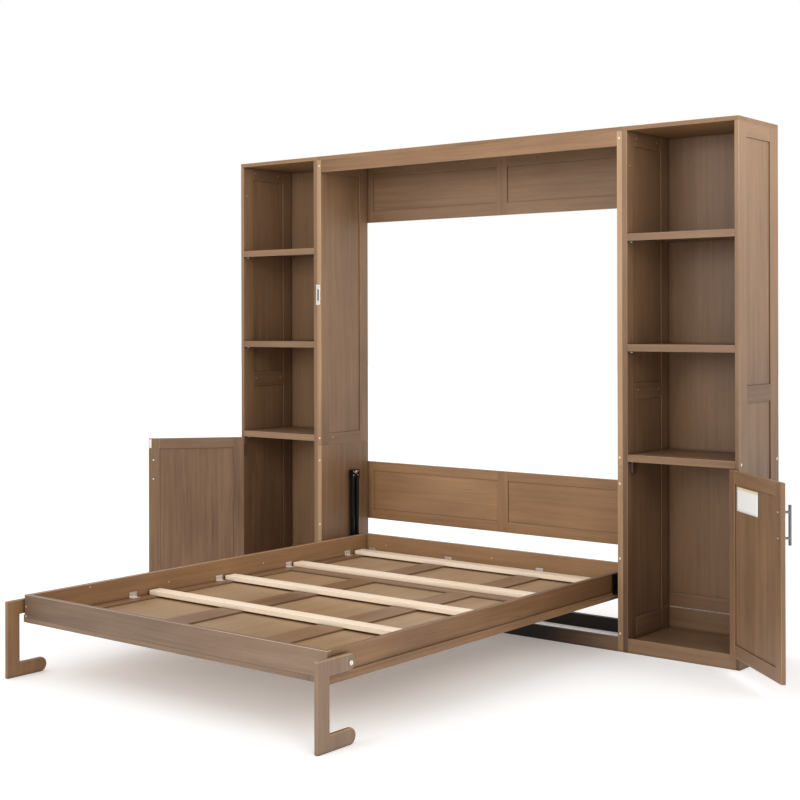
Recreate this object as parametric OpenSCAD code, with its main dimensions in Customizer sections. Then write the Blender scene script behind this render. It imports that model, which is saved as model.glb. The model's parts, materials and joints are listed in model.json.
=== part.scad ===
// Vertical wall bed: a bed platform that folds up into the middle bay of a
// three-bay wooden cabinet. Millimetres. X runs across the cabinet, Y from the
// front plane back to the wall, Z up from the floor. The origin lies on the
// floor, at the middle of the cabinet's front plane. The bed is drawn let down.

/* [Cabinet] */
// Height of the whole cabinet
height = 2210; // [2206:1:2216]
// Depth of the cabinet, front plane to wall
depth = 375; // [372:1:400]
// Clear width of the middle bay that takes the bed
bay_w = 1668; // [1666:1:1676]
// Clear width of each side cabinet
cab_w = 487; // [440:1:560]
// Thickness of the bay's side boards
bay_side_t = 25; // [22:1:30]
// Thickness of the side cabinets' inner boards
cab_inner_t = 23; // [18:1:28]
// Thickness of the outer side boards and of the top
board_t = 18; // [16:1:20]
// Thickness of the back boards
back_t = 15; // [12:1:16]
// Width of the frame around the sunk panels of the sides, at the front
side_stile_w = 73; // [60:1:90]
// Height of the plinth and of the bay's bottom rails
plinth_h = 60; // [56:1:60]
// Height of the front edge of a shelf
shelf_edge_h = 30; // [24:1:36]
// Levels of the shelves' top faces, from the top down
shelf_tops = [1759, 1295, 832]; // [600:1:2000]

/* [Doors] */
// Height of a door
door_h = 738; // [700:1:740]
// Width of a door's frame members
door_stile_w = 52; // [40:1:70]
// Thickness of a door
door_t = 18; // [16:1:20]
// Angle at which the right door stands open
door_open_r = 138; // [90:1:170]
// Angle at which the left door stands open
door_open_l = 132; // [90:1:170]
// Distance between the two posts of a handle
handle_post_gap = 96; // [64:1:128]
// Length of a handle's bar
handle_l = 150; // [140:1:180]

/* [Bed] */
// Outside width of the bed frame
bed_w = 1590; // [1580:1:1590]
// Front face of the foot board, ahead of the cabinet's front plane
bed_foot = 1802; // [1790:1:1802]
// Back face of the head rail, behind the cabinet's front plane
bed_head = 298; // [290:1:298]
// Thickness of the bed's side rails, foot board and head rail
rail_t = 20; // [18:1:24]
// Level of the top of the side rails
rail_top = 320; // [312:1:320]
// Thickness of the base board under the mattress
base_t = 19; // [16:1:19]
// Width of a slat
slat_w = 60; // [50:1:80]
// Thickness of a slat
slat_t = 20; // [16:1:24]
// Distance from one slat to the next
slat_pitch = 450.5; // [440:0.5:455]

/* [Legs] */
// Height of a leg
leg_h = 302; // [300:1:302]
// Length of a leg's foot, front to back
leg_l = 188; // [180:1:200]
// Width of a leg's upright bar
leg_bar_w = 59; // [50:1:64]
// Height of a leg's two arms
leg_arm_h = 57; // [56:1:62]
// Thickness of a leg
leg_t = 18; // [16:1:18]

/* [Lift] */
// Radius of the bed's pivot pins
pivot_r = 8; // [7:0.5:9]
// Radius of the steel tubes of a lift strut
tube_r = 11; // [10:0.5:11]
// Radius of the rods of a lift strut
rod_r = 4; // [3.5:0.5:5]

/* [Hidden] */
$fn = 48;
eps = 0.01;
joint_gap = 0.3;            // open line between the members of a frame
run_gap = 0.06;             // radial play of a pin in its bore

bay_in = bay_w / 2;
seam = bay_in + bay_side_t;
cab_in = seam + cab_inner_t;
cab_out = cab_in + cab_w;
half_w = cab_out + board_t;
top_z = height - board_t;
back_y = depth - back_t;

sink = 5;                   // depth of the sunk panels in the sides
top_rail_z = height - 78;
mid_rail = [1062, 1130];
low_rail_z = 140;
rear_stile_y = depth - 78;
bay_panel_y = [59, 298];
bay_low_rail_z = [782, 838];

fascia_h = 61;
fascia_t = 18;
rear_rail_t = 25;
rear_rail_y = 320;
back_upper_z = 1900;
back_lower_z = [386, 677];
back_sink = 4;
back_stile_x = 800;
wall_hole_r = 3.5;
wall_hole_pitch = 406.4;

base_top = 50;
split_z = [139, 142];       // open line across the side cabinets' backs
cab_back_rail_h = 61;
shelf_t = 18;
shelf_nose_t = 20;
shelf_play = 0.5;

leaf_t = 1.4;
barrel_r = 4;
hinge_pin_r = 1.5;
hinge_l = 64;
hinge_y = -4;
hinge_x = cab_out - 1.5;
hinge_zs = [130, 732];
door_z = plinth_h + 2;
door_w = cab_w - 5;
door_x = hinge_x - 1.5;     // hinge edge of a closed door
door_panel_t = 8;
handle_z = door_z + 580;
handle_r = 6;
handle_off = 28;
handle_in = 24;

fold_y = 68;
fold_z = 257;
bed_x = bed_w / 2;
rail_in = bed_x - rail_t;
base_z = rail_top - 90 - base_t;
base_top_z = base_z + base_t;
ledge_x = bed_x + 6.5;
base_stile_w = 88.5;
base_mid_x = [205, 330];
base_cross_y = [-352, -232];
base_end_w = 115;
panel_drop = 7;
panel_proud = 3;
slat_y0 = -1181;
slat_x = 765;
batten_h = 11;
batten_y = 15;
bracket_l = 40;
bracket_leg = 24;
bracket_t = 2.5;
bracket_ys = [-1264, -760, -303, 124];
bracket_xs = [-739, -262, 262, 739];

leg_x = ledge_x + 1;
leg_front = -1877;
leg_pivot_y = -1715;
leg_pivot_z = 271;
leg_bolt_r = 5;

plate_t = 5;
strut_x = [808, 826];
strut_top = [232, 634];
strut_low = [232, 250];
strut_pin_r = 5;
strut_gap = 16.5;           // each tube's distance from the strut's middle
yoke_w = 56;

// The object is drawn for the right-hand side and mirrored for the left.
module on_side(s) {
    if (s < 0) mirror([1, 0, 0]) children();
    else children();
}

// A box between two corners.
module block(a, b) {
    translate(a) cube(b - a);
}

// A round bar along X, between two x values.
module bar_x(x, y, z, r) {
    translate([x[0], y, z]) rotate([0, 90, 0]) cylinder(h = x[1] - x[0], r = r);
}

// A round bar along Y, between two y values.
module bar_y(x, y, z, r) {
    translate([x, y[1], z]) rotate([90, 0, 0]) cylinder(h = y[1] - y[0], r = r);
}

// Moves a closed door to the place where it stands open.
module swing_open(angle) {
    translate([hinge_x, hinge_y, 0]) rotate([0, 0, angle])
        translate([-hinge_x, -hinge_y, 0]) children();
}

function door_angle(s) = s < 0 ? door_open_l : door_open_r;

// A framed board standing along X, its face towards -Y. Stiles run the whole
// height, rails fit between them, and each space is closed by a thin panel that
// is sunk by sinks[0] at the face and by sinks[1] at the back.
module framed(stiles, rails, y, z, sinks) {
    for (x = stiles) block([x[0], y[0], z[0]], [x[1], y[1], z[1]]);
    for (i = [1:len(stiles) - 1]) {
        x = [stiles[i - 1][1] + joint_gap, stiles[i][0] - joint_gap];
        for (r = rails) block([x[0], y[0], r[0]], [x[1], y[1], r[1]]);
        for (j = [1:len(rails) - 1])
            block([x[0], y[0] + sinks[0], rails[j - 1][1] + joint_gap],
                  [x[1], y[1] - sinks[1], rails[j][0] - joint_gap]);
    }
}

// Turns a framed board into a right-hand side board: its face looks to +X and
// what was X now runs from front to back.
module as_side() {
    rotate([0, 0, 90]) children();
}

// ---- middle bay ----

module bay_side(s) {
    color("#7a5f45") on_side(s) {
        as_side() framed([[0, bay_panel_y[0]], [bay_panel_y[1], back_y]],
                         [bay_low_rail_z, [top_rail_z, top_z]],
                         [-seam, -bay_in], [bay_low_rail_z[0], top_z], [0, sink]);
        block([bay_in, 0, 0], [seam, back_y, bay_low_rail_z[0] - joint_gap]);
    }
}

module bay_top() {
    color("#8a6c4f") block([-seam, 0, top_z], [seam, depth, height]);
}

module fascia() {
    color("#8f6b45")
        block([-bay_in, 0, top_z - fascia_h], [bay_in, fascia_t, top_z]);
}

// A back board across the bay, with two sunk panels either side of a stile.
module back_board(z, rail_h) {
    framed([[-seam, -back_stile_x], [-30, 30], [back_stile_x, seam]],
           [[z[0], z[0] + rail_h[0]], [z[1] - rail_h[1], z[1]]],
           [back_y, depth], z, [back_sink, 0]);
}

module back_upper() {
    color("#7d5e42") difference() {
        back_board([back_upper_z, top_z], [58, fascia_h]);
        for (i = [-1.5:1:1.5])
            bar_y(i * wall_hole_pitch, [back_y - 1, depth + 1], top_z - 30, wall_hole_r);
    }
}

module back_lower() {
    color("#7d5e42") back_board(back_lower_z, [50, 45]);
}

module rail_front() {
    color("#86684a") block([-bay_in, 0, 0], [bay_in, fascia_t, plinth_h]);
}

module rail_rear() {
    color("#241d1c")
        block([-bay_in, rear_rail_y, 0], [bay_in, rear_rail_y + rear_rail_t, plinth_h]);
}

// Heads of the bolts along the front edges of the bay's sides.
module edge_bolts() {
    color("#c9b8a4") for (s = [-1, 1], z = [77, 393, 708, 818, 2163])
        on_side(s) bar_y(845, [-0.8, 0], z, 5);
}

// Keeper on the left side that the folded bed's latch drops into.
module latch_plate() {
    color("#d8d8d4") on_side(-1) difference() {
        block([840, -2, 1476], [866, 0, 1577]);
        block([849, -3, 1501], [857, 1, 1549]);
        for (z = [1501, 1549]) bar_y(853, [-3, 1], z, 4);
        for (z = [1484, 1569]) bar_y(853, [-3, 1], z, 2);
    }
}

// ---- side cabinets ----

// A side board of a side cabinet: two panels above each other.
module cab_side(x, sinks) {
    as_side() framed([[0, side_stile_w], [rear_stile_y, depth]],
                     [[0, low_rail_z], mid_rail, [top_rail_z, top_z]],
                     [-x[1], -x[0]], [0, top_z], sinks);
}

module cab_outer(s) {
    color("#9a7f66") on_side(s) cab_side([cab_out, half_w], [sink, sink]);
}

module cab_inner(s) {
    color("#6b4f38") on_side(s) cab_side([seam, cab_in], [sink, 0]);
}

module cab_top(s) {
    color("#8a6c4f") on_side(s)
        block([seam, 0, top_z], [half_w, depth, height]);
}

// The back of a side cabinet: a tall board over a rail, an open line, a low board.
module cab_back(s) {
    rail_top_z = split_z[1] + cab_back_rail_h;
    color("#5d4330") on_side(s) {
        block([cab_in, back_y + back_sink, rail_top_z + joint_gap],
              [cab_out, depth, top_z]);
        block([cab_in, back_y, split_z[1]], [cab_out, depth, rail_top_z]);
        block([cab_in, back_y, base_top - shelf_t], [cab_out, depth, split_z[0]]);
    }
}

module cab_base(s) {
    color("#7a5d42") on_side(s) {
        block([cab_in, 0, 0], [cab_out, fascia_t, plinth_h]);
        block([cab_in, fascia_t + joint_gap, base_top - shelf_t],
              [cab_out, back_y, base_top]);
    }
}

module shelves(s) {
    color("#8f6b45") on_side(s) for (z = shelf_tops) union() {
        block([cab_in + shelf_play, 0, z - shelf_t], [cab_out - shelf_play, back_y, z]);
        block([cab_in + shelf_play, 0, z - shelf_edge_h],
              [cab_out - shelf_play, shelf_nose_t, z]);
    }
}

// Pegs under the shelves, four to a shelf.
module shelf_pins() {
    color("#b9b9b6") for (s = [-1, 1], z = shelf_tops, y = [40, depth - 40])
        on_side(s) {
            bar_x([cab_in, cab_in + 9], y, z - shelf_t - 2.5, 2.5);
            bar_x([cab_out - 9, cab_out], y, z - shelf_t - 2.5, 2.5);
        }
}

// ---- doors ----

// Magnet catch under the lowest shelf, beside the closed door's free edge.
module door_catches() {
    color("#dcdad4") for (s = [-1, 1]) on_side(s)
        block([cab_in, door_t + 4, 752], [cab_in + 14, door_t + 34, 796]);
}

// One barrel section of a hinge, joined to the leaf behind it.
module hinge_barrel(z, x) {
    translate([hinge_x, hinge_y, z[0]]) cylinder(h = z[1] - z[0], r = barrel_r);
    block([x[0], hinge_y, z[0]], [x[1], 0.3 + eps, z[1]]);
}

// Cabinet leaves: the two end barrels and the pin, fixed to the outer board.
module hinge_leaves(s) {
    third = hinge_l / 3;
    color("#b5b2ac") on_side(s) for (z = hinge_zs) union() {
        block([cab_out - leaf_t, 0.3, z - hinge_l / 2], [cab_out, 22, z + hinge_l / 2]);
        hinge_barrel([z - hinge_l / 2, z - third / 2], [cab_out - leaf_t, cab_out]);
        hinge_barrel([z + third / 2, z + hinge_l / 2], [cab_out - leaf_t, cab_out]);
        translate([hinge_x, hinge_y, z - hinge_l / 2])
            cylinder(h = hinge_l, r = hinge_pin_r);
    }
}

// Door leaves: the middle barrels, bored for the pin, fixed to the door's edge.
module door_leaves(s) {
    third = hinge_l / 3;
    edge = [door_x, door_x + leaf_t];
    color("#b5b2ac") on_side(s) swing_open(door_angle(s))
        for (z = hinge_zs) difference() {
            union() {
                block([edge[0], 0.3, z - hinge_l / 2], [edge[1], door_t - 1, z + hinge_l / 2]);
                hinge_barrel([z - third / 2 + 0.3, z + third / 2 - 0.3], edge);
            }
            translate([hinge_x, hinge_y, z - hinge_l / 2])
                cylinder(h = hinge_l, r = hinge_pin_r + run_gap);
        }
}

// Two stiles, and two rails between them with an open joint line at each end.
module door_frame(s) {
    free = door_x - door_w;
    inner = [free + door_stile_w, door_x - door_stile_w];
    top = door_z + door_h;
    color("#8c6f55") on_side(s) swing_open(door_angle(s)) {
        block([free, 0, door_z], [inner[0], door_t, top]);
        block([inner[1], 0, door_z], [door_x, door_t, top]);
        for (z = [door_z, top - door_stile_w])
            block([inner[0] + joint_gap, 0, z],
                  [inner[1] - joint_gap, door_t, z + door_stile_w]);
    }
}

module door_panel(s) {
    free = door_x - door_w;
    mid = door_t / 2;
    color("#86694f") on_side(s) swing_open(door_angle(s))
        block([free + door_stile_w + joint_gap, mid - door_panel_t / 2,
               door_z + door_stile_w + joint_gap],
              [door_x - door_stile_w - joint_gap, mid + door_panel_t / 2,
               door_z + door_h - door_stile_w - joint_gap]);
}

// Bar handle on two posts, with the screws that hold it from inside.
module handle(s) {
    x = door_x - door_w + handle_in;
    color("#c8c8c8") on_side(s) swing_open(door_angle(s)) {
        union() {
            translate([x, -handle_off, handle_z - handle_l / 2])
                cylinder(h = handle_l, r = handle_r);
            for (z = [-1, 1] * handle_post_gap / 2)
                bar_y(x, [-handle_off, 0], handle_z + z, 5);
        }
        for (z = [-1, 1] * handle_post_gap / 2)
            bar_y(x, [door_t, door_t + 2], handle_z + z, 4.5);
    }
}

module door_strike(s) {
    free = door_x - door_w;
    color("#e4e1da") on_side(s) swing_open(door_angle(s))
        block([free + 2, door_t, 752], [free + 14, door_t + 2, 796]);
}

// ---- bed platform ----

module bed_rail(s) {
    color("#7f6145") on_side(s) difference() {
        block([rail_in, -bed_foot + rail_t, base_top_z],
              [bed_x, bed_head - rail_t, rail_top]);
        bar_x([rail_in - 1, bed_x + 1], leg_pivot_y, leg_pivot_z, leg_bolt_r + run_gap);
    }
}

module foot_board() {
    color("#86684a") block([-bed_x, -bed_foot, base_top_z],
                           [bed_x, -bed_foot + rail_t, rail_top]);
}

module head_rail() {
    color("#7f6145") block([-bed_x, bed_head - rail_t, base_top_z],
                           [bed_x, bed_head, rail_top]);
}

// Rows of the base between its end members and its cross member.
base_rows = [[-bed_foot + base_end_w, base_cross_y[0]],
             [base_cross_y[1], bed_head - base_end_w]];

// Columns of the base between its long members.
base_cols = [[-ledge_x + base_stile_w, -base_mid_x[1]],
             [-base_mid_x[0], base_mid_x[0]],
             [base_mid_x[1], ledge_x - base_stile_w]];

// Frame of the base: long side members, cross members, short middle members.
module base_frame() {
    inner = ledge_x - base_stile_w - joint_gap;
    z = [base_z, base_top_z];
    color("#75583f") {
        for (s = [-1, 1]) on_side(s)
            block([ledge_x - base_stile_w, -bed_foot, z[0]], [ledge_x, bed_head, z[1]]);
        for (y = [[-bed_foot, base_rows[0][0]], base_cross_y, [base_rows[1][1], bed_head]])
            block([-inner, y[0], z[0]], [inner, y[1], z[1]]);
        for (s = [-1, 1], y = base_rows) on_side(s)
            block([base_mid_x[0], y[0] + joint_gap, z[0]],
                  [base_mid_x[1], y[1] - joint_gap, z[1]]);
    }
}

// Thin panels that close the base, sunk on both faces.
module base_panels() {
    color("#6d5039") for (x = base_cols, y = base_rows)
        block([x[0] + joint_gap, y[0] + joint_gap, base_z + panel_proud],
              [x[1] - joint_gap, y[1] - joint_gap, base_top_z - panel_drop]);
}

module slats() {
    color("#ddc39c") for (i = [0:3])
        block([-slat_x, slat_y0 + i * slat_pitch, base_top_z],
              [slat_x, slat_y0 + i * slat_pitch + slat_w, base_top_z + slat_t]);
}

// Strips that cover the joint between the side rails and the base.
module bed_battens() {
    color("#9b7c5c") for (s = [-1, 1]) on_side(s)
        block([bed_x, -bed_foot, base_top_z], [ledge_x, batten_y, base_top_z + batten_h]);
}

// One angle bracket at the origin: an upright leg on +X and a lying leg.
module angle_bracket() {
    difference() {
        union() {
            block([-bracket_t, -bracket_l / 2, 0], [0, bracket_l / 2, bracket_leg]);
            block([-bracket_leg, -bracket_l / 2, 0], [0, bracket_l / 2, bracket_t]);
        }
        for (y = [-1, 1] * bracket_l / 4) {
            bar_x([-bracket_t - 1, 1], y, bracket_leg * 0.65, 2.2);
            translate([-bracket_leg * 0.65, y, -1]) cylinder(h = bracket_t + 2, r = 2.2);
        }
    }
}

module angle_brackets() {
    color("#c4c2ba") {
        for (s = [-1, 1], y = bracket_ys) on_side(s)
            translate([rail_in, y, base_top_z]) angle_bracket();
        for (x = bracket_xs) {
            translate([x, bed_head - rail_t, base_top_z])
                rotate([0, 0, 90]) angle_bracket();
            translate([x, -bed_foot + rail_t, base_top_z])
                rotate([0, 0, -90]) angle_bracket();
        }
    }
}

// ---- pivots and legs ----

// Steel plate on the rail: carries the pivot pin and the strut's lower stud.
module pivot_plate(s) {
    color("#1d1c1c") on_side(s) union() {
        block([bed_x, batten_y + 5, base_top_z + 2],
              [bed_x + plate_t, bed_head - 3, rail_top]);
        bar_x([bed_x, bay_in - 0.3], fold_y, fold_z, pivot_r);
        bar_x([bed_x, strut_x[0] - 0.6], strut_low[0], strut_low[1], strut_pin_r);
    }
}

// Steel plate on the bay's side with the bearing that the pivot pin turns in.
module pivot_bracket(s) {
    color("#232222") on_side(s) difference() {
        union() {
            block([bay_in - 5, fold_y - 46, fold_z - 48], [bay_in, fold_y + 60, fold_z + 48]);
            bar_x([bay_in - 14, bay_in], fold_y, fold_z, 16);
        }
        bar_x([bay_in - 15, bay_in + 1], fold_y, fold_z, pivot_r + run_gap);
        for (y = [-1, 1], z = [-1, 1])
            bar_x([bay_in - 6, bay_in + 1], fold_y + 7 + y * 42, fold_z + z * 38, 3);
    }
}

// A leg is a C lying open to the back: an upright bar with two round-ended arms.
module leg(s) {
    arm_end = leg_front + leg_l;
    arm_r = leg_arm_h / 2;
    color("#80634a") on_side(s) difference() {
        translate([leg_x, 0, 0]) rotate([90, 0, 90]) linear_extrude(leg_t) {
            translate([leg_front, 0]) square([leg_bar_w, leg_h]);
            for (z = [0, leg_h - leg_arm_h]) {
                translate([leg_front, z])
                    square([leg_l - arm_r, leg_arm_h]);
                translate([arm_end - arm_r, z + arm_r]) circle(r = arm_r);
            }
        }
        bar_x([leg_x - 1, leg_x + leg_t + 1], leg_pivot_y, leg_pivot_z,
              leg_bolt_r + run_gap);
    }
}

// Bolts that the legs turn on: spacer, shank, head outside, nut inside.
module leg_bolts() {
    color("#4a4744") for (s = [-1, 1]) on_side(s) union() {
        bar_x([rail_in - 6, leg_x + leg_t + 4], leg_pivot_y, leg_pivot_z, leg_bolt_r);
        bar_x([bed_x, leg_x - 0.3], leg_pivot_y, leg_pivot_z, 11);
        bar_x([leg_x + leg_t + 0.3, leg_x + leg_t + 4.5], leg_pivot_y, leg_pivot_z, 9);
        bar_x([rail_in - 6, rail_in], leg_pivot_y, leg_pivot_z, 8.5);
    }
}

// ---- lift struts ----

// Plates on the bay's sides that hold the struts' upper pins.
module strut_brackets() {
    color("#232222") for (s = [-1, 1]) on_side(s) union() {
        block([bay_in - 4, strut_top[0] - 14, strut_top[1] - 36],
              [bay_in, strut_top[0] + 26, strut_top[1] + 10]);
        bar_x([strut_x[0] - 4, bay_in], strut_top[0], strut_top[1], strut_pin_r);
    }
}

// Two steel tubes under one yoke, each closed by a gland at its lower end.
module strut_tubes(s) {
    x = (strut_x[0] + strut_x[1]) / 2;
    tube_z = [300, 612];
    gland_h = 12;
    color("#171616") on_side(s) difference() {
        union() {
            block([strut_x[0], strut_top[0] - yoke_w / 2, tube_z[1] - 10],
                  [strut_x[1], strut_top[0] + yoke_w / 2, strut_top[1] + 12]);
            for (y = [-1, 1] * strut_gap)
                translate([x, strut_top[0] + y, tube_z[0]])
                    cylinder(h = tube_z[1] - tube_z[0], r = tube_r);
        }
        bar_x([strut_x[0] - 1, strut_x[1] + 1], strut_top[0], strut_top[1],
              strut_pin_r + run_gap);
        for (y = [-1, 1] * strut_gap) translate([x, strut_top[0] + y, 0]) {
            translate([0, 0, tube_z[0] - 1]) cylinder(h = gland_h + 2, r = rod_r + run_gap);
            translate([0, 0, tube_z[0] + gland_h])
                cylinder(h = tube_z[1] - tube_z[0] - gland_h - 20, r = tube_r - 2);
        }
    }
}

// Two rods with pistons inside the tubes, and the lower yoke.
module strut_rods(s) {
    x = (strut_x[0] + strut_x[1]) / 2;
    piston_z = 520;
    color("#bdbdbd") on_side(s) difference() {
        union() {
            block([strut_x[0], strut_low[0] - yoke_w / 2, strut_low[1] - 12],
                  [strut_x[1], strut_low[0] + yoke_w / 2, strut_low[1] + 14]);
            for (y = [-1, 1] * strut_gap) translate([x, strut_low[0] + y, 0]) {
                translate([0, 0, strut_low[1]])
                    cylinder(h = piston_z - strut_low[1], r = rod_r);
                translate([0, 0, piston_z - 12]) cylinder(h = 12, r = tube_r - 2.1);
            }
        }
        bar_x([strut_x[0] - 1, strut_x[1] + 1], strut_low[0], strut_low[1],
              strut_pin_r + 0.1);
    }
}

bay_side(-1);  // bay_side_l
bay_side(1);  // bay_side_r
bay_top();
fascia();
back_upper();
back_lower();
rail_front();
rail_rear();
edge_bolts();
latch_plate();
cab_outer(-1);  // cab_outer_l
cab_outer(1);  // cab_outer_r
cab_inner(-1);  // cab_inner_l
cab_inner(1);  // cab_inner_r
cab_top(-1);  // cab_top_l
cab_top(1);  // cab_top_r
cab_back(-1);  // cab_back_l
cab_back(1);  // cab_back_r
cab_base(-1);  // cab_base_l
cab_base(1);  // cab_base_r
shelves(-1);  // shelves_l
shelves(1);  // shelves_r
shelf_pins();
door_catches();
hinge_leaves(-1);  // hinge_leaves_l
hinge_leaves(1);  // hinge_leaves_r
door_frame(-1);  // door_frame_l
door_frame(1);  // door_frame_r
door_panel(-1);  // door_panel_l
door_panel(1);  // door_panel_r
door_leaves(-1);  // door_leaves_l
door_leaves(1);  // door_leaves_r
handle(-1);  // handle_l
handle(1);  // handle_r
door_strike(-1);  // door_strike_l
door_strike(1);  // door_strike_r
pivot_bracket(-1);  // pivot_bracket_l
pivot_bracket(1);  // pivot_bracket_r
strut_brackets();
bed_rail(-1);  // bed_rail_l
bed_rail(1);  // bed_rail_r
foot_board();
head_rail();
base_frame();
base_panels();
slats();
bed_battens();
angle_brackets();
pivot_plate(-1);  // pivot_plate_l
pivot_plate(1);  // pivot_plate_r
leg_bolts();
leg(-1);  // leg_l
leg(1);  // leg_r
strut_tubes(-1);  // strut_tubes_l
strut_tubes(1);  // strut_tubes_r
strut_rods(-1);  // strut_rods_l
strut_rods(1);  // strut_rods_r
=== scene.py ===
"""Looks of the wall bed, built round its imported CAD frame. Metres; +X right, +Y to the wall, +Z up."""

import json
import math
import random

import bmesh
import bpy
import numpy as np
from mathutils import Matrix, Vector
from mathutils.bvhtree import BVHTree


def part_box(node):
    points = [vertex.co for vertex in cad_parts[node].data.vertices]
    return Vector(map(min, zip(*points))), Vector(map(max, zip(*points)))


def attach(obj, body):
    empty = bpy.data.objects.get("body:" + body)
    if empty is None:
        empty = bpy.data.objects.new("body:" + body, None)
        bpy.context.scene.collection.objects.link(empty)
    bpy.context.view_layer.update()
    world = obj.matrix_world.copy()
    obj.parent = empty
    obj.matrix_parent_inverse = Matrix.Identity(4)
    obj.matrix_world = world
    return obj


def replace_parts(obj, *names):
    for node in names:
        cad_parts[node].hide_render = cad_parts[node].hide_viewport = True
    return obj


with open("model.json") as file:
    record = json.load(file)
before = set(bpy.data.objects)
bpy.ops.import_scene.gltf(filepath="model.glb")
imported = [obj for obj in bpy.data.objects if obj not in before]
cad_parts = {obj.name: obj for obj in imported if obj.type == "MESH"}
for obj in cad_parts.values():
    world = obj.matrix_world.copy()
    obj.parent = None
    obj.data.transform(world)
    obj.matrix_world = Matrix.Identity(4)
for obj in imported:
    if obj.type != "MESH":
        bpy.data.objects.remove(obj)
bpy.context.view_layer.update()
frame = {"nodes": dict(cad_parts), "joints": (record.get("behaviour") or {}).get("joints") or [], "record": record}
NODE_BODY = {n: b for b, nodes in frame["record"]["behaviour"]["bodies"].items() for n in nodes}
JOINTS = {j["name"]: j for j in frame["joints"]}
SIDES = (("l", -1), ("r", 1))
WELD = 1e-5
LABEL_HIGH = 0.095
rng = random.Random(7)


# ---------------------------------------------------------------- node tools

def srgb(r, g, b):
    """A linear colour, with alpha, from 0-255 display values."""
    def lin(c):
        c /= 255
        return c / 12.92 if c <= 0.04045 else ((c + 0.055) / 1.055) ** 2.4
    return (lin(r), lin(g), lin(b), 1.0)


class Nodes:
    """A short way to write a material's node tree. A link takes a socket or a plain value."""

    def __init__(self, name):
        self.material = bpy.data.materials.new(name)
        self.material.use_nodes = True
        self.tree = self.material.node_tree
        self.shader = self.tree.nodes["Principled BSDF"]

    def link(self, value, socket):
        if isinstance(value, bpy.types.NodeSocket):
            self.tree.links.new(value, socket)
        elif value is not None:
            socket.default_value = value

    def node(self, kind, out=0, inputs=(), **settings):
        made = self.tree.nodes.new(kind)
        for key, value in settings.items():
            setattr(made, key, value)
        for key, value in dict(inputs).items():
            self.link(value, made.inputs[key])
        return made.outputs[out]

    def attribute(self, name, out="Vector"):
        return self.node("ShaderNodeAttribute", out, attribute_name=name)

    def scaled(self, vector, factors, shift=(0, 0, 0)):
        inputs = {"Vector": vector, "Scale": factors, "Location": shift}
        return self.node("ShaderNodeMapping", inputs=inputs)

    def noise(self, vector, scale=1.0, detail=3.0, rough=0.55):
        inputs = {"Vector": vector, "Scale": scale, "Detail": detail, "Roughness": rough}
        return self.node("ShaderNodeTexNoise", inputs=inputs)

    def math(self, operation, a, b, c=None):
        made = self.tree.nodes.new("ShaderNodeMath")
        made.operation = operation
        for value, socket in zip((a, b, c), made.inputs):
            self.link(value, socket)
        return made.outputs[0]

    def remap(self, value, low, high, to_low=0.0, to_high=1.0):
        inputs = {"Value": value, "From Min": low, "From Max": high, "To Min": to_low,
                  "To Max": to_high}
        return self.node("ShaderNodeMapRange", inputs=inputs)

    def mix(self, factor, a, b, blend="MIX"):
        """Two colours mixed. The mix node's colour sockets are its inputs 6 and 7."""
        made = self.tree.nodes.new("ShaderNodeMix")
        made.data_type = "RGBA"
        made.blend_type = blend
        self.link(factor, made.inputs[0])
        self.link(a, made.inputs[6])
        self.link(b, made.inputs[7])
        return made.outputs[2]

    def ramp(self, value, stops):
        made = self.tree.nodes.new("ShaderNodeValToRGB")
        self.link(value, made.inputs[0])
        points = made.color_ramp.elements
        while len(points) < len(stops):
            points.new(0.5)
        for point, (position, colour) in zip(points, stops):
            point.position = position
            point.color = colour
        return made.outputs[0]

    def bump(self, height, strength, distance):
        inputs = {"Height": height, "Strength": strength, "Distance": distance}
        return self.node("ShaderNodeBump", inputs=inputs)

    def finish(self, **sockets):
        for key, value in sockets.items():
            self.link(value, self.shader.inputs[key.replace("_", " ")])
        return self.material


# ------------------------------------------------------------------ materials

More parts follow.
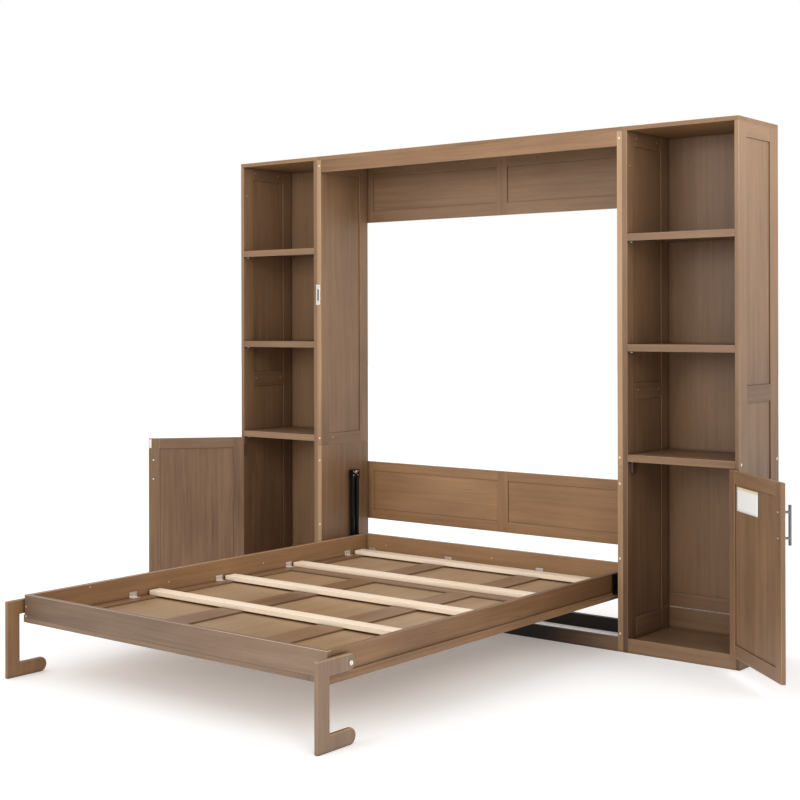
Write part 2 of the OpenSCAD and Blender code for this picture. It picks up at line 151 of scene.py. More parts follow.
def wood(name, dark, mid, light, contrast=1.0, gloss=0.42, rings=26.0, bump=0.25):
    """Sawn wood under stain and satin lacquer, with painted shade darkening its corners and creases.

    The grain runs along the grain attribute's x."""
    t = Nodes(name)
    grain = t.attribute("grain")
    tone = t.attribute("tone", "Fac")
    wander = t.noise(t.scaled(grain, (1.1, 5.0, 5.0)), detail=2.0)
    bend = t.math("MULTIPLY", t.math("SUBTRACT", wander, 0.5), 2.6)
    across = t.node("ShaderNodeSeparateXYZ", "Y", {"Vector": grain})
    depth = t.node("ShaderNodeSeparateXYZ", "Z", {"Vector": grain})
    ring_pos = t.math("ADD", t.math("MULTIPLY", t.math("ADD", across, depth), rings), bend)
    figure = t.noise(t.node("ShaderNodeCombineXYZ", inputs={
        "X": t.math("MULTIPLY", t.node("ShaderNodeSeparateXYZ", "X", {"Vector": grain}), 0.9),
        "Y": ring_pos, "Z": t.math("MULTIPLY", depth, 9.0)}), scale=1.6, detail=4.0, rough=0.6)
    fibre = t.noise(t.scaled(grain, (7.0, 420.0, 420.0)), detail=3.0, rough=0.7)
    streak = t.noise(t.scaled(grain, (1.6, 74.0, 74.0)), detail=4.0, rough=0.62)
    cloud = t.noise(t.scaled(grain, (1.8, 4.2, 4.2), (3.1, 1.7, 0.4)), detail=3.0)
    pores = t.noise(t.scaled(grain, (38.0, 900.0, 900.0)), detail=1.0)
    pores = t.remap(pores, 0.60, 0.72)
    value = tone
    for pattern, weight in ((figure, 0.42), (streak, 0.36), (fibre, 0.30), (cloud, 0.55)):
        value = t.math("MULTIPLY_ADD", t.math("SUBTRACT", pattern, 0.5), weight * contrast, value)
    colour = t.ramp(value, [(0.12, dark), (0.5, mid), (0.9, light)])
    dull = t.mix(t.math("MULTIPLY", pores, 0.30 * contrast), colour, dark)
    # Painted shade: an occlusion test darkens the colour in corners, creases and where parts meet.
    crease_shade = t.node("ShaderNodeAmbientOcclusion", "AO", {"Distance": 0.014}, samples=4)
    dull = t.mix(1.0, dull, t.remap(crease_shade, 0.4, 0.9, 0.42, 1.0), "MULTIPLY")
    height = t.math("SUBTRACT", t.math("MULTIPLY", fibre, 0.6), t.math("MULTIPLY", pores, 0.8))
    height = t.math("MULTIPLY_ADD", streak, 0.5, height)
    rough = t.remap(t.math("ADD", fibre, t.math("MULTIPLY", pores, 0.4)), 0.2, 1.0,
                    gloss - 0.06, gloss + 0.16)
    return t.finish(Base_Color=dull, Roughness=rough,
                    Normal=t.bump(height, bump, 0.0006), Specular_IOR_Level=0.42)


def painted_steel(name, colour, rough=0.42):
    """Powder coat: fine orange peel, and dust that lightens it here and there."""
    t = Nodes(name)
    place = t.node("ShaderNodeTexCoord", "Object")
    peel = t.noise(place, scale=900.0, detail=2.0)
    cloud = t.noise(place, scale=14.0, detail=4.0)
    lighter = tuple(c * 2.1 + 0.004 for c in colour[:3]) + (1.0,)
    dust = t.remap(cloud, 0.45, 0.75)
    return t.finish(Base_Color=t.mix(t.math("MULTIPLY", dust, 0.55), colour, lighter),
                    Roughness=t.remap(cloud, 0.3, 0.7, rough - 0.07, rough + 0.12),
                    Normal=t.bump(peel, 0.18, 0.0004), Specular_IOR_Level=0.22)


def bright_steel(name, colour, rough, along=(1.0, 1.0, 1.0), smudge=0.12):
    """Bare or plated steel, brushed across the large factors of along."""
    t = Nodes(name)
    place = t.node("ShaderNodeTexCoord", "Object")
    brush = t.noise(t.scaled(place, along), scale=700.0, detail=3.0)
    cloud = t.noise(place, scale=45.0, detail=4.0)
    darker = tuple(c * 0.62 for c in colour[:3]) + (1.0,)
    tarnish = t.remap(cloud, 0.42, 0.78)
    return t.finish(Base_Color=t.mix(t.math("MULTIPLY", tarnish, 0.5), colour, darker),
                    Roughness=t.remap(t.math("ADD", brush, cloud), 0.7, 1.3,
                                      rough - 0.06, rough + smudge),
                    Normal=t.bump(brush, 0.12, 0.0002), Metallic=1.0)


def plastic(name, colour, rough=0.5):
    """Moulded plastic with a fine spark-eroded skin."""
    t = Nodes(name)
    place = t.node("ShaderNodeTexCoord", "Object")
    skin = t.noise(place, scale=2200.0, detail=2.0)
    cloud = t.noise(place, scale=60.0, detail=3.0)
    darker = tuple(c * 0.86 for c in colour[:3]) + (1.0,)
    return t.finish(Base_Color=t.mix(t.remap(cloud, 0.35, 0.7), colour, darker),
                    Roughness=t.remap(cloud, 0.3, 0.7, rough - 0.05, rough + 0.08),
                    Normal=t.bump(skin, 0.1, 0.0002))


def paper(name):
    """A blank label: off-white stock with faint fibres and one tinted band along its top."""
    t = Nodes(name)
    place = t.attribute("grain")
    fibre = t.noise(place, scale=900.0, detail=4.0)
    band = t.node("ShaderNodeSeparateXYZ", "X", {"Vector": place})
    top = t.math("GREATER_THAN", band, LABEL_HIGH - 0.012)
    base = t.mix(t.remap(fibre, 0.3, 0.7), srgb(226, 225, 222), srgb(240, 239, 236))
    return t.finish(Base_Color=t.mix(t.math("MULTIPLY", top, 0.55), base, srgb(214, 190, 120)),
                    Roughness=0.55, Normal=t.bump(fibre, 0.08, 0.0002))


stain = dict(
    body=wood("stained_wood", srgb(92, 66, 45), srgb(127, 97, 70), srgb(150, 118, 88)),
    grey=wood("stained_wood_grey", srgb(88, 68, 52), srgb(124, 99, 78), srgb(149, 124, 103)),
    edge=wood("stained_wood_edge", srgb(118, 88, 59), srgb(155, 123, 89), srgb(180, 146, 110),
              gloss=0.38, bump=0.15),
    warm=wood("stained_wood_warm", srgb(98, 68, 42), srgb(136, 101, 68), srgb(162, 125, 88)),
    deep=wood("stained_wood_deep", srgb(86, 61, 41), srgb(120, 90, 64), srgb(142, 110, 80)),
    # A light stain for eased top edges: partly rubbed wear, partly painted highlight where light catches them.
    worn_lit_edge=wood("stained_wood_worn_lit_edge", srgb(150, 118, 92), srgb(198, 165, 138), srgb(226, 196, 170),
              gloss=0.32, bump=0.12),
    pine=wood("bare_pine", srgb(204, 164, 124), srgb(235, 208, 179), srgb(245, 226, 203),
              gloss=0.6, rings=40.0, bump=0.3),
    pine_edge=wood("bare_pine_edge", srgb(212, 180, 141), srgb(238, 219, 193),
                   srgb(247, 236, 217), gloss=0.62, bump=0.2),
    # Near-black wood, for the rear rail.
    near_black=wood("rear_rail_wood", srgb(14, 11, 9), srgb(28, 21, 17), srgb(45, 36, 30),
               contrast=0.8, gloss=0.5),
    # Brown wood that darkens to near-black; with the front rail's fade it is painted shade under the bed.
    painted_rail_shade=wood("front_rail_wood_painted_shade", srgb(21, 14, 10), srgb(72, 52, 37), srgb(112, 87, 64),
                contrast=0.7, gloss=0.46),
)
black_steel = painted_steel("black_steel", srgb(10, 8, 8))
bronze = painted_steel("hinge_bronze", srgb(88, 67, 49), rough=0.4)
zinc = bright_steel("zinc_plate", srgb(205, 202, 190), rough=0.32)
chrome = bright_steel("strut_rod_chrome", srgb(225, 226, 228), rough=0.12, smudge=0.05)
nickel = bright_steel("nickel_plate", srgb(226, 224, 216), rough=0.2, smudge=0.08)
galvanised = bright_steel("galvanised_steel", srgb(240, 232, 228), rough=0.42)
handle_steel = bright_steel("handle_steel", srgb(128, 125, 125), rough=0.11, along=(1, 1, 0.02))
cap_plastic = plastic("cap_tan", srgb(223, 199, 172))
white_plastic = plastic("catch_plastic", srgb(228, 226, 220))
brown_plastic = plastic("catch_brown", srgb(66, 47, 33))
strike_plastic = plastic("strike_brown", srgb(124, 95, 69))
# Near-black rough plastic behind the latch plate's slot: painted shade in the slot's hollow.
slot_shade = plastic("slot_painted_shade", srgb(16, 14, 13), rough=0.85)
label_paper = paper("label_paper")


# --------------------------------------------------------------- mesh tools

def mesh_object(name, bm, materials, body, slot):
    mesh = bpy.data.meshes.new(name)
    bm.to_mesh(mesh)
    bm.free()
    for material in materials:
        mesh.materials.append(material)
    made = bpy.data.objects.new(name, mesh)
    bpy.context.scene.collection.objects.link(made)
    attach(made, body)
    return made


def islands(bm):
    """The vertices of each separate solid in a mesh."""
    left = set(bm.verts)
    while left:
        start = min(left, key=lambda v: v.index)
        group, todo = {start}, [start]
        while todo:
            for e in todo.pop().link_edges:
                for v in e.verts:
                    if v not in group:
                        group.add(v)
                        todo.append(v)
        left -= group
        yield sorted(group, key=lambda v: v.index)


def grain_frame(points, forced):
    """Axes of a board, its grain first. The grain runs along the longest side, unless forced."""
    spread = np.cov((points - points.mean(0)).T)
    _, axes = np.linalg.eigh(spread)
    if forced is None:
        return axes[:, ::-1].T
    first = np.array(forced, float)
    second = np.cross(first, axes[:, 0])
    second /= np.linalg.norm(second)
    return np.array([first, second, np.cross(first, second)])


def lay_grain(made, shade, forced, painted_light_slope):
    """Stores on each vertex its place along and across its own board, and a tone.

    The tone is a board's own, and fades over the whole node by so much per metre: painted light and
    shade, lighter where light falls on the node and darker where shade falls."""
    mesh = made.data
    bm = bmesh.new()
    bm.from_mesh(mesh)
    bm.verts.ensure_lookup_table()
    bm.verts.index_update()
    grain = np.zeros((len(bm.verts), 3))
    places = np.array([v.co for v in bm.verts])
    middle = (places.min(0) + places.max(0)) / 2
    # Painted light and shade: the tone rises evenly across the node along its slope.
    tone = shade + (places - middle) @ np.array(painted_light_slope)
    for group in islands(bm):
        index = [v.index for v in group]
        points = places[index]
        shift = np.array([rng.uniform(0, 40) for _ in range(3)])
        grain[index] = points @ grain_frame(points, forced).T + shift
        tone[index] += rng.uniform(-0.05, 0.05)
    bm.free()
    mesh.attributes.new("grain", "FLOAT_VECTOR", "POINT").data.foreach_set("vector", grain.ravel())
    mesh.attributes.new("tone", "FLOAT", "POINT").data.foreach_set("value", tone)


def dress(node, materials, slot, shade, bevel=0.0012, forced=None):
    """A CAD node rebuilt with eased edges and its own grain on every board.

    The first material goes on the faces, the second on the eased edges, lighter partly as wear and
    partly as painted highlight, and on the front of the boards in FRONT_EDGED; a third, where there
    is one, on the edges that don't face up, which leaves the second as a painted highlight on the
    upward edges only."""
    bm = bmesh.new()
    bm.from_mesh(frame["nodes"][node].data)
    bmesh.ops.remove_doubles(bm, verts=bm.verts, dist=WELD)
    bmesh.ops.dissolve_limit(bm, angle_limit=math.radians(0.5), verts=bm.verts, edges=bm.edges)
    for f in bm.faces:
        f.material_index = int(node in FRONT_EDGED and f.normal.y < -0.9)
    sharp = [e for e in bm.edges if len(e.link_faces) == 2 and e.calc_face_angle() > 0.6]
    bmesh.ops.bevel(bm, geom=sharp, offset=bevel, segments=2, profile=0.5, affect="EDGES",
                    clamp_overlap=True, material=1)
    for f in bm.faces:
        f.smooth = False
        # Eased edges that don't face up take the third material, so the second is a painted highlight on top.
        if len(materials) > 2 and f.material_index == 1 and f.normal.z < 0.3:
            f.material_index = 2
    made = mesh_object(f"{node}_wood", bm, materials, NODE_BODY[node], slot)
    lay_grain(made, shade, forced, PAINTED_LIGHT_FADES.get(node, (0, 0, 0)))
    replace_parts(made, node)


def finish_cad(node, material, bevel=0.0006):
    """A CAD node that keeps its own shape and gets a material and eased edges."""
    shown = frame["nodes"][node]
    shown.data.materials.clear()
    shown.data.materials.append(material)
    weld = shown.modifiers.new("weld", "WELD")
    weld.merge_threshold = WELD
    ease = shown.modifiers.new("ease", "BEVEL")
    ease.width = bevel
    ease.segments = 2
    ease.limit_method = "ANGLE"
    ease.angle_limit = math.radians(40)


STEPS = 24  # sides of every turned piece


def turned(bm, place, axis, rings, spin=0.0):
    """Adds a closed piece of rings about an axis. A ring is (height, radius or radius(angle))."""
    aim = Vector((0, 0, 1)).rotation_difference(Vector(axis)).to_matrix().to_4x4()
    aim = Matrix.Translation(Vector(place)) @ aim
    loops = []
    for height, radius in rings:
        loop = []
        for i in range(STEPS):
            a = spin + 2 * math.pi * i / STEPS
            r = radius(a - spin) if callable(radius) else radius
            loop.append(bm.verts.new(aim @ Vector((r * math.cos(a), r * math.sin(a), height))))
        loops.append(loop)
    for low, high in zip(loops, loops[1:]):
        for i in range(STEPS):
            j = (i + 1) % STEPS
            bm.faces.new((low[i], low[j], high[j], high[i])).smooth = True
    bm.faces.new(loops[0][::-1])
    bm.faces.new(loops[-1])


def cross(r):
    """Radius of a cross recess of arm length r, at an angle."""
    def at(a):
        bend = abs((a + math.pi / 4) % (math.pi / 2) - math.pi / 4)
        return r * (1 - 0.66 * min(1.0, bend / 0.42))
    return at


def hexagon(r):
    """Radius of a hexagon across its corners, at an angle."""
    def at(a):
        return r * math.cos(math.pi / 6) / math.cos(a % (math.pi / 3) - math.pi / 6)
    return at


def screw(bm, place, axis, r, socket=cross, proud=0.0011):
    """A pan or cap screw head, its recess sunk into the crown."""
    spin = rng.uniform(0, math.pi)
    turned(bm, place, axis, [
        (-0.0005, r), (proud * 0.35, r), (proud * 0.8, r * 0.86), (proud, r * 0.62),
        (proud, socket(r * 0.52)), (proud * 0.15, socket(r * 0.46))], spin)


def bolt_cap(bm, place, axis, r):
    """A pressed-in cover cap with a shallow crown."""
    turned(bm, place, axis, [(-0.0005, r), (0.0003, r), (0.0006, r * 0.86), (0.0008, r * 0.5),
                             (0.0008, r * 0.1)])


def hardware(name, body, slot, material, draw):
    """One piece made of many small ones that draw() adds."""
    bm = bmesh.new()
    draw(bm)
    return mesh_object(name, bm, [material], body, slot)


# --------------------------------------------------------------------- wood

# Boards whose front faces get the second of their materials.
FRONT_EDGED = ("bay_side_l", "bay_side_r", "base_frame")
# The materials of each kind of wood: its faces, its eased edges, lighter partly as wear and partly as
# painted highlight, and, for some, its edges that don't face up, so that the lighter edge is a painted
# highlight on the upward edges only.
WOODS = {
    "body": (stain["body"], stain["edge"]),
    "warm": (stain["warm"], stain["edge"]),
    "deep": (stain["deep"], stain["edge"]),
    "light": (stain["edge"], stain["edge"]),
    "pine": (stain["pine"], stain["pine_edge"]),
    "near_black": (stain["near_black"], stain["near_black"]),
    "painted_rail_shade": (stain["painted_rail_shade"], stain["painted_rail_shade"]),
    "base": (stain["warm"], stain["grey"]),
    "bed": (stain["grey"], stain["worn_lit_edge"], stain["grey"]),
    "rail": (stain["warm"], stain["worn_lit_edge"], stain["warm"]),
    "leg_l": (stain["warm"], stain["edge"], stain["warm"]),
    "leg_r": (stain["grey"], stain["edge"], stain["grey"]),
}
# Each board's kind of wood, and the tone at its middle, from 0, dark, to 1, light. Where a part's left
# and right copies differ in tone, this is partly the boards' own tone and partly painted light and
# shade. The front rail's lies below 0, so that its fade leaves it dark up to near its right end:
# painted shade under the bed.
BOARDS = {
    "bay_side_l": ("body", 0.49), "bay_side_r": ("body", 0.55), "bay_top": ("warm", 0.5),
    "fascia": ("warm", 0.44), "back_upper": ("body", 0.5), "back_lower": ("warm", 0.62),
    "rail_front": ("painted_rail_shade", -0.87), "rail_rear": ("near_black", 0.4),
    "cab_outer_l": ("body", 0.38), "cab_outer_r": ("body", 0.30),
    "cab_inner_l": ("deep", 0.5), "cab_inner_r": ("deep", 0.44),
    "cab_top_l": ("warm", 0.5), "cab_top_r": ("warm", 0.5),
    "cab_back_l": ("deep", 0.66), "cab_back_r": ("deep", 0.54),
    "cab_base_l": ("body", 0.5), "cab_base_r": ("body", 0.5),
    "shelves_l": ("body", 0.44), "shelves_r": ("body", 0.42),
    "door_frame_l": ("body", 0.31), "door_frame_r": ("body", 0.46),
    "door_panel_l": ("body", 0.22), "door_panel_r": ("body", 0.42),
    "bed_rail_l": ("rail", 0.59), "bed_rail_r": ("rail", 0.29), "foot_board": ("bed", 0.40),
    "head_rail": ("warm", 0.72), "base_frame": ("base", 0.42), "base_panels": ("light", 0.55),
    "slats": ("pine", 0.8), "bed_battens": ("warm", 0.3),
}
# Painted light and shade: how much a board's tone rises in a metre along X, Y and Z, where it isn't
# even, so that it reads lighter where light falls and darker where shade falls.
PAINTED_LIGHT_FADES = {
    "cab_outer_l": (0, 0, 0.30), "cab_outer_r": (0, 0, 0.40), "bay_side_l": (0, 0, 0.12),
    "bay_side_r": (0, 0, 0.12), "cab_inner_r": (0, 0, 0.23), "bed_rail_r": (0, -0.14, 0),
    "foot_board": (0.22, 0, 0), "fascia": (0.1, 0, 0), "base_panels": (0, 0.1, 0),
    "rail_front": (2.3, 0, 0),
}
SLOT_OF = {s["node"]: s["material_slot"] for s in frame["record"]["subparts"]}
for board, (kind, shade) in BOARDS.items():
    dress(board, WOODS[kind], SLOT_OF[board], shade)
# The legs differ in stain and tone, partly as their own colour and partly as painted light and shade.
for leg, shade in (("leg_l", 0.38), ("leg_r", 0.56)):
    dress(leg, WOODS[leg], SLOT_OF[leg], shade, bevel=0.004, forced=(0, 0, 1))


# -------------------------------------------------------------------- metal

for side, _ in SIDES:
    for part in ("pivot_bracket", "pivot_plate", "strut_tubes"):
        finish_cad(f"{part}_{side}", black_steel)
    for part in ("hinge_leaves", "door_leaves"):
        finish_cad(f"{part}_{side}", bronze, 0.0003)
    finish_cad(f"strut_rods_{side}", chrome)
    finish_cad(f"handle_{side}", handle_steel, 0.0012)
finish_cad("door_strike_l", white_plastic)
finish_cad("door_strike_r", strike_plastic)
finish_cad("strut_brackets", black_steel)
finish_cad("latch_plate", nickel)
finish_cad("shelf_pins", zinc)
finish_cad("angle_brackets", galvanised, 0.0004)
finish_cad("door_catches", brown_plastic, 0.001)
finish_cad("edge_bolts", cap_plastic, 0.0003)


# ------------------------------------------------------------------ hardware

TREES = {}  # a ray-casting tree for each CAD node that has been asked for
BOARD_SCREWS = ((0.090, 2.168), (0.260, 2.163), (0.026, 2.046), (0.092, 1.101), (0.273, 1.097))
BED_SCREWS = ((-1.493, 0.307), (-1.061, 0.266), (-0.474, 0.269))
MIDDLE_BOLT_Z = 0.817
TUBE_STEP = 0.0165  # from a strut's middle to each of its two tubes


def face_hit(node, start, way):
    """Where a line from start first meets a CAD node, and the way back along it."""
    if node not in TREES:
        mesh = frame["nodes"][node].data
        TREES[node] = BVHTree.FromPolygons([v.co for v in mesh.vertices],
                                           [list(p.vertices) for p in mesh.polygons])
    return TREES[node].ray_cast(Vector(start), Vector(way))[0], -Vector(way)


def solids(node):
    """The low and high corner of each separate solid of a CAD node."""
    source = bmesh.new()
    source.from_mesh(frame["nodes"][node].data)
    bmesh.ops.remove_doubles(source, verts=source.verts, dist=WELD)
    source.verts.index_update()
    places = [np.array([v.co for v in group]) for group in islands(source)]
    source.free()
    return [(Vector(p.min(0)), Vector(p.max(0))) for p in places]


def cabinet_screws(bm):
    """Screws that join the boards, on the faces inside the cabinets and the bay."""
    for side, s in SIDES:
        for y, z in BOARD_SCREWS:
            for board, way in (("cab_inner", -s), ("cab_outer", s)):
                where = face_hit(f"{board}_{side}", (s * 1.125, y, z), (way, 0, 0))
                screw(bm, *where, 0.0036)
        screw(bm, *face_hit(f"cab_base_{side}", (s * 0.919, 0.305, 0.3), (0, 0, -1)), 0.003)
        beside = (0, 0.086, MIDDLE_BOLT_Z)
        screw(bm, *face_hit(f"bay_side_{side}", beside, (s, 0, 0)), 0.0036)


def cabinet_caps(bm):
    """Covers over the middle bolts of the outer side boards."""
    for side, s in SIDES:
        for y in (0.018, 0.358):
            where = face_hit(f"cab_outer_{side}", (s * 2, y, MIDDLE_BOLT_Z), (-s, 0, 0))
            bolt_cap(bm, *where, 0.006)


def floor_caps(bm):
    """A cover in the floor of each cabinet."""
    for side, s in SIDES:
        bolt_cap(bm, *face_hit(f"cab_base_{side}", (s * 0.930, 0.187, 0.3), (0, 0, -1)), 0.009)


def shelf_pegs(bm):
    """Pegs just under the deep front edge of every shelf, one at each end."""
    for side, s in SIDES:
        for low, high in solids(f"shelves_{side}"):
            for x, way in ((low.x, 1), (high.x, -1)):
                turned(bm, (x, 0.030, low.z - 0.0038), (way, 0, 0),
                       [(0, 0.0040), (0.0014, 0.0040), (0.0018, 0.0029), (0.0082, 0.0029),
                        (0.0092, 0.0022)])


def latch_pocket_shade(bm):
    """A near-black shell at the back of the latch plate's slot: painted shade in the slot's hollow."""
    low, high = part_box("latch_plate")
    x, z = (low.x + high.x) / 2, (low.z + high.z) / 2 - 0.0015
    reach, r, turns = 0.024, 0.0039, 12
    outline = []
    for end in (1, -1):
        for i in range(turns + 1):
            a = math.pi * i / turns
            outline.append((x + end * r * math.cos(a), z + end * (reach + r * math.sin(a))))
    back = [bm.verts.new((u, high.y - 0.0001, v)) for u, v in outline]
    rim = [bm.verts.new((u, high.y - 0.0012, v)) for u, v in outline]
    mouth = [bm.verts.new((x + (u - x) * 0.7, high.y - 0.0005, v)) for u, v in outline]
    for near, far in ((back, rim), (rim, mouth)):
        for i in range(len(outline)):
            j = (i + 1) % len(outline)
            bm.faces.new((near[i], near[j], far[j], far[i]))
    bm.faces.new(back)
    bm.faces.new(mouth)
    bmesh.ops.recalc_face_normals(bm, faces=bm.faces)


def latch_screws(bm):
    """A screw at each end of the latch plate."""
    low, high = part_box("latch_plate")
    for z in (low.z + 0.008, high.z - 0.008):
        screw(bm, ((low.x + high.x) / 2, low.y, z), (0, -1, 0), 0.0034, cross, 0.0008)


def bearing_bolts(bm):
    """Socket screws in the four holes of each pivot bearing plate."""
    _, fold_y, fold_z = JOINTS["bed_fold"]["pos_m"]
    off_hole = Vector((0, 0.0045, 0))
    for side, s in SIDES:
        for y in (fold_y - 0.035, fold_y + 0.049):
            for z in (fold_z - 0.038, fold_z + 0.038):
                beside = Vector((0, y, z)) + off_hole
                where, out = face_hit(f"pivot_bracket_{side}", beside, (s, 0, 0))
                screw(bm, where - off_hole, out, 0.0055, hexagon, 0.0022)


def pin_clips(bm):
    """A washer and a clip on each upper pin of the struts."""
    for side, s in SIDES:
        _, y, z = JOINTS[f"strut_tilt_{side}"]["pos_m"]
        end = s * 0.804
        turned(bm, (end + s * 0.0025, y, z), (-s, 0, 0),
               [(0, 0.0095), (0.0012, 0.0095), (0.0014, 0.0085)])
        turned(bm, (end + s * 0.0008, y, z), (-s, 0, 0),
               [(0, 0.0066), (0.0012, 0.0066), (0.0016, 0.0056), (0.0016, 0.002)])


def yoke_rivets(side, s):
    """Rivets through the upper yoke, one over each tube."""
    def draw(bm):
        _, y, z = JOINTS[f"strut_tilt_{side}"]["pos_m"]
        for step in (-TUBE_STEP, TUBE_STEP):
            for level in (-0.016, 0.004):
                where = face_hit(f"strut_tubes_{side}", (0, y + step, z + level), (s, 0, 0))
                bolt_cap(bm, *where, 0.0042)
    return draw


def rod_nuts(side, s):
    """Hexagon nuts that lock the two rods on the lower yoke."""
    def draw(bm):
        low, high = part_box(f"strut_rods_{side}")
        x = (low.x + high.x) / 2
        y = (low.y + high.y) / 2
        for step in (-TUBE_STEP, TUBE_STEP):
            turned(bm, (x, y + step, low.z + 0.026), (0, 0, 1),
                   [(0, hexagon(0.0078)), (0.0052, hexagon(0.0082)), (0.006, 0.0066)])
    return draw


def bed_screws(bm):
    """Screws inside the side rails and the head rail, and two at each end of the foot board."""
    for side, s in SIDES:
        for y, z in BED_SCREWS:
            screw(bm, *face_hit(f"bed_rail_{side}", (0, y, z), (s, 0, 0)), 0.0036)
        for z in (0.236, 0.274):
            screw(bm, *face_hit("foot_board", (s * 0.786, -3, z), (0, 1, 0)), 0.0042)
    for x in (-0.651, -0.008, 0.651):
        screw(bm, *face_hit("head_rail", (x, -1, 0.272), (0, 1, 0)), 0.0036)


def bracket_screws(bm):
    """Two screws in each leg of every angle bracket."""
    plate, reach, head_r = 0.0025, 0.0156, 0.0042
    bed_middle = (0, -0.7)
    for low, high in solids("angle_brackets"):
        middle = (low + high) / 2
        over = 0 if high.x - low.x < high.y - low.y else 1
        out = 1 if middle[over] > bed_middle[over] else -1
        wall = (high if out > 0 else low)[over]
        for step in (-0.01, 0.01):
            foot = middle.copy()
            foot[1 - over] += step
            foot[over] = wall - out * reach
            foot.z = low.z + plate
            screw(bm, foot, (0, 0, 1), head_r)
            foot[over] = wall - out * plate
            foot.z = low.z + reach
            axis = Vector((0, 0, 0))
            axis[over] = -out
            screw(bm, foot, axis, head_r)


def leg_bolts(bm):
    """The bolts the legs turn on: nut inside, shank, washer, socket head outside."""
    for side, s in SIDES:
        _, y, z = JOINTS[f"leg_swing_{side}"]["pos_m"]
        low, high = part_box(f"leg_{side}")
        inner, outer = sorted((abs(low.x), abs(high.x)))
        rail = min(abs(crease_shade.x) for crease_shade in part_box(f"bed_rail_{side}"))
        turned(bm, (s * rail, y, z), (s, 0, 0), [(-0.0055, 0.005), (outer - rail, 0.005)])
        turned(bm, (s * rail, y, z), (-s, 0, 0),
               [(0, hexagon(0.0085)), (0.0048, hexagon(0.0085)), (0.0055, 0.007)])
        turned(bm, (s * inner, y, z), (s, 0, 0),
               [(-0.0073, 0.0105), (-0.007, 0.011), (-0.0006, 0.011), (-0.0003, 0.0105)])
        turned(bm, (s * outer, y, z), (s, 0, 0),
               [(0.0003, 0.009), (0.0034, 0.009), (0.0044, 0.0076), (0.0044, hexagon(0.0046)),
                (0.0014, hexagon(0.0044))])


def on_door(side, s):
    """The transform from the closed right-hand door to either door as it stands."""
    joint = JOINTS[f"door_swing_{side}"]
    hinge = Vector((abs(joint["pos_m"][0]), joint["pos_m"][1], 0))
    turn = Matrix.Rotation(math.radians(joint["range_deg"][1]), 4, "Z")
    return (Matrix.Diagonal((s, 1, 1, 1)) @ Matrix.Translation(hinge) @ turn
            @ Matrix.Translation(-hinge))


def handle_screws(side, s):
    """The two screws of a handle, on the door's inner face."""
    def draw(bm):
        place = on_door(side, s)
        low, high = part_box(f"handle_{side}")
        middle = (low.z + high.z) / 2
        for step in (-0.048, 0.048):
            out = place.to_3x3() @ Vector((0, 1, 0))
            screw(bm, place @ Vector((0.908, 0.020, middle + step)), out, 0.0043, cross, 0.0012)
    return draw


def blank_label():
    """The label on the right door's panel, left blank, with one corner lifting."""
    place = on_door("r", 1)
    bm = bmesh.new()
    wide, tall = 0.200, LABEL_HIGH
    cols, rows = 16, 8
    left, face, foot = 1.101, 0.0133, 0.645
    curl, curl_from = 0.0012, 1.72
    grid = []
    for j in range(rows + 1):
        for i in range(cols + 1):
            x, z = wide * i / cols, tall * j / rows
            lift = curl * (max(0.0, x / wide + z / tall - curl_from) / (2 - curl_from)) ** 2
            grid.append(bm.verts.new(place @ Vector((left + x, face + lift, foot + z))))
    for j in range(rows):
        for i in range(cols):
            k = j * (cols + 1) + i
            bm.faces.new((grid[k], grid[k + cols + 1], grid[k + cols + 2], grid[k + 1]))
    places = [(tall * j / rows, wide * i / cols, 0.0)
              for j in range(rows + 1) for i in range(cols + 1)]
    made = mesh_object("blank_label", bm, [label_paper], "door_r", "white_plastic")
    data = made.data.attributes.new("grain", "FLOAT_VECTOR", "POINT").data
    data.foreach_set("vector", [c for p in places for c in p])
    thick = made.modifiers.new("thick", "SOLIDIFY")
    thick.thickness = 0.0002
    thick.offset = 0
    for f in made.data.polygons:
        f.use_smooth = True


hardware("cabinet_screws", "cabinet", "zinc_steel", zinc, cabinet_screws)
hardware("cabinet_caps", "cabinet", "cap_tan", cap_plastic, cabinet_caps)
hardware("floor_caps", "cabinet", "cap_tan", strike_plastic, floor_caps)
hardware("shelf_pegs", "cabinet", "zinc_steel", zinc, shelf_pegs)
hardware("latch_pocket_shade", "cabinet", "dark_rail", slot_shade, latch_pocket_shade)
hardware("latch_screws", "cabinet", "zinc_steel", zinc, latch_screws)
hardware("bearing_bolts", "cabinet", "zinc_steel", zinc, bearing_bolts)
hardware("pin_clips", "cabinet", "zinc_steel", nickel, pin_clips)
hardware("bed_screws", "bed", "zinc_steel", zinc, bed_screws)
hardware("bracket_screws", "bed", "zinc_steel", nickel, bracket_screws)
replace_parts(hardware("leg_bolts_turned", "bed", "zinc_steel", galvanised, leg_bolts), "leg_bolts")
for side, s in SIDES:
    hardware(f"yoke_rivets_{side}", f"strut_cylinders_{side}", "zinc_steel", nickel,
             yoke_rivets(side, s))
    hardware(f"rod_nuts_{side}", f"strut_pistons_{side}", "zinc_steel", zinc, rod_nuts(side, s))
    hardware(f"handle_screws_{side}", f"door_{side}", "zinc_steel", nickel,
             handle_screws(side, s))
blank_label()


# ------------------------------------------------------------ stage and view

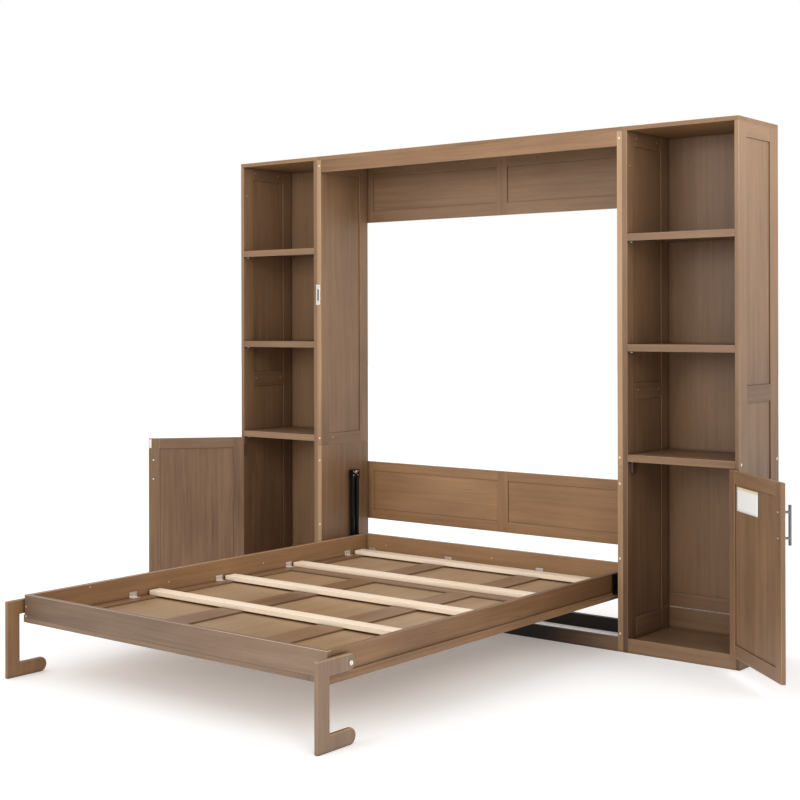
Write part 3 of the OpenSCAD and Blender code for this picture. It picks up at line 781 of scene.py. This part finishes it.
def studio():
    """Even white light from all round, and a plain pale floor."""
    world = bpy.data.worlds.new("studio")
    bpy.context.scene.world = world
    world.use_nodes = True
    world.node_tree.nodes["Background"].inputs["Color"].default_value = (1, 1, 1, 1)
    world.node_tree.nodes["Background"].inputs["Strength"].default_value = 1.0

    t = Nodes("pale_floor")
    speck = t.noise(t.node("ShaderNodeTexCoord", "Object"), scale=3.0, detail=6.0)
    t.finish(Base_Color=t.mix(speck, (0.93, 0.93, 0.925, 1), (0.96, 0.96, 0.955, 1)), Roughness=0.9,
             Emission_Color=(1, 1, 1, 1), Emission_Strength=0.2)
    bm = bmesh.new()
    bmesh.ops.create_grid(bm, x_segments=4, y_segments=4, size=30)
    mesh = bpy.data.meshes.new("floor")
    bm.to_mesh(mesh)
    bm.free()
    mesh.materials.append(t.material)
    floor = bpy.data.objects.new("floor", mesh)
    bpy.context.scene.collection.objects.link(floor)


def softbox(name, place, target, size, power, spread):
    """A soft rectangular lamp at place, turned to target."""
    lamp = bpy.data.lights.new(name, "AREA")
    lamp.shape = "RECTANGLE"
    lamp.size, lamp.size_y = size
    lamp.energy = power
    lamp.spread = math.radians(spread)
    made = bpy.data.objects.new(name, lamp)
    made.location = place
    aim = Vector(target) - Vector(place)
    made.rotation_euler = aim.to_track_quat("-Z", "Y").to_euler()
    bpy.context.scene.collection.objects.link(made)


def camera():
    """A view from the front right, at the height of 1.39 m, with upright lines kept upright."""
    data = bpy.data.cameras.new("camera")
    data.lens = 64.6627
    data.sensor_width = 36
    data.shift_x = -0.00068
    data.shift_y = -0.09745
    data.dof.use_dof = False
    made = bpy.data.objects.new("camera", data)
    made.location = (3.8933, -5.3054, 1.3889)
    made.rotation_euler = [math.radians(a) for a in (90.0139, 0.1394, 38.5414)]
    bpy.context.scene.collection.objects.link(made)
    bpy.context.scene.camera = made


studio()
softbox("front", (-0.6, -6.5, 2.7), (0.0, 0.3, 1.7), (2.6, 2.0), 21, 70)
softbox("right", (4.6, -4.2, 3.4), (-0.8, -0.3, 0.8), (2.0, 2.0), 12, 70)
softbox("side", (5.6, -0.4, 3.4), (1.4, 0.1, 2.0), (1.6, 1.6), 9, 50)
camera()
bpy.context.scene.view_settings.view_transform = "Standard"
